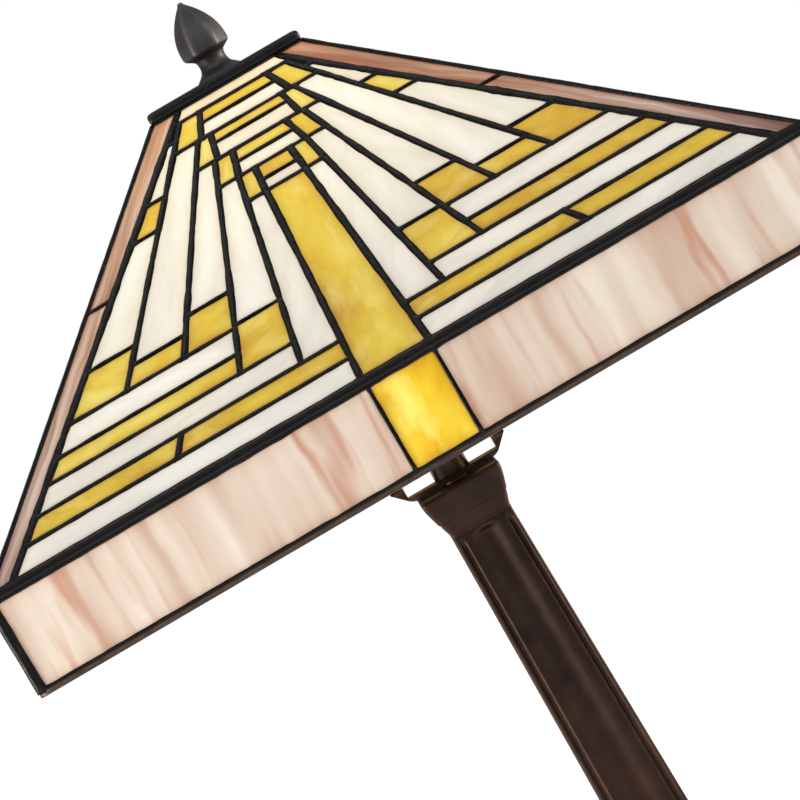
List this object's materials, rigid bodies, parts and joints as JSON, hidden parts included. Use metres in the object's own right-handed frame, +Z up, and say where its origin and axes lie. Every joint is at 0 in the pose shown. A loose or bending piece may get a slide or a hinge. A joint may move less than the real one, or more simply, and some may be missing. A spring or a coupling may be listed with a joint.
{
  "type": "table lamp",
  "caption": "Table lamp: square leaded glass shade in white, amber and mauve on a harp, over a tapered fluted column and a stepped square foot.",
  "frame": {"origin": "centre of the underside of the foot's felt pad", "axes": "+Z up along the column; -Y towards the front panel; +X to the right seen from the front"},
  "size_m": [0.4076, 0.4076, 0.5715],
  "materials": {
    "felt": "pressed felt",
    "steel": "plain sheet",
    "bronze": "dark bronze patina with lighter worn edges, satin",
    "rim_bronze": "dark patina on a brass rim channel",
    "phenolic": "moulded, smooth",
    "brass": "plain turned brass",
    "aged_brass": "antique brass, satin",
    "fibre": "pressed fibre",
    "nickel": "bright drawn shell",
    "bulb_glass": "white frosted",
    "gunmetal": "dark gunmetal, satin",
    "solder": "black patina on solder, glossy and slightly bumpy",
    "white_glass": "opalescent white, faint warm streaks",
    "amber_glass": "streaky amber yellow",
    "border_glass": "streaky mauve brown",
    "cream_glass": "cream with wispy tan and pink streaks",
    "peach_glass": "opalescent peach"
  },
  "bodies": {
    "base": {"felt_pad": "felt", "bottom_cover": "steel", "foot": "bronze", "plinth": "bronze", "cord_bushing": "phenolic", "column": "bronze", "capital": "bronze", "lamp_pipe": "brass", "pipe_washer": "steel", "pipe_nut": "brass", "harp_saddle": "bronze", "socket_cap": "aged_brass", "socket_shell": "aged_brass", "socket_sleeve": "fibre", "socket_core": "phenolic", "screw_shell": "brass", "centre_contact": "brass"},
    "switch": {"switch_knob": "phenolic"},
    "bulb_base": {"bulb_base": "nickel"},
    "bulb": {"bulb_glass": "bulb_glass"},
    "harp": {"harp_wire_left": "aged_brass", "harp_wire_right": "aged_brass", "harp_head": "aged_brass", "harp_stud": "brass"},
    "ferrule_left": {"ferrule_left": "bronze"},
    "ferrule_right": {"ferrule_right": "bronze"},
    "shade": {"shade_cap": "gunmetal", "crown_ring": "brass", "seam_solder": "solder", "shade_rim": "rim_bronze", "crown_glass": "peach_glass", "apron_amber": "amber_glass", "panel_lead_front": "solder", "panel_lead_right": "solder", "panel_lead_back": "solder", "panel_lead_left": "solder", "panel_white_front": "white_glass", "panel_white_right": "white_glass", "panel_white_back": "white_glass", "panel_white_left": "white_glass", "panel_amber_front": "amber_glass", "panel_amber_right": "amber_glass", "panel_amber_back": "amber_glass", "panel_amber_left": "amber_glass", "panel_border_front": "border_glass", "panel_border_right": "border_glass", "panel_border_back": "border_glass", "panel_border_left": "border_glass", "apron_lead_front": "solder", "apron_lead_right": "solder", "apron_lead_back": "solder", "apron_lead_left": "solder", "apron_cream_front": "cream_glass", "apron_cream_right": "cream_glass", "apron_cream_back": "cream_glass", "apron_cream_left": "cream_glass"},
    "finial_insert": {"finial_insert": "brass"},
    "finial": {"finial": "gunmetal"}
  },
  "joints": [
    {"name": "harp_lift", "type": "slide", "parent": "base", "child": "harp", "axis": [0, 0, 1], "range_m": [0, 0.075]},
    {"name": "ferrule_left_slide", "type": "slide", "parent": "harp", "child": "ferrule_left", "axis": [0, 0, 1], "range_m": [0, 0.012]},
    {"name": "ferrule_right_slide", "type": "slide", "parent": "harp", "child": "ferrule_right", "axis": [0, 0, 1], "range_m": [0, 0.012]},
    {"name": "shade_swivel", "type": "hinge", "parent": "harp", "child": "shade", "pos_m": [0, 0, 0.5298], "axis": [0, 0, 1], "continuous": true},
    {"name": "finial_rise", "type": "slide", "parent": "harp", "child": "finial_insert", "axis": [0, 0, 1], "range_m": [0, 0.0075]},
    {"name": "finial_turn", "type": "hinge", "parent": "finial_insert", "child": "finial", "pos_m": [0, 0, 0.54], "axis": [0, 0, 1], "range_deg": [0, 2880]},
    {"name": "bulb_rise", "type": "slide", "parent": "base", "child": "bulb_base", "axis": [0, 0, 1], "range_m": [0, 0.0108]},
    {"name": "bulb_turn", "type": "hinge", "parent": "bulb_base", "child": "bulb", "pos_m": [0, 0, 0.38], "axis": [0, 0, 1], "range_deg": [0, 1080]},
    {"name": "switch_turn", "type": "hinge", "parent": "base", "child": "switch", "pos_m": [0, -0.028, 0.3382], "axis": [0, -1, 0], "continuous": true}
  ],
  "couplings": [
    {"joint": "finial_turn", "follows": "finial_rise", "rad_per_m": 6679},
    {"joint": "bulb_turn", "follows": "bulb_rise", "rad_per_m": 1731.6}
  ]
}
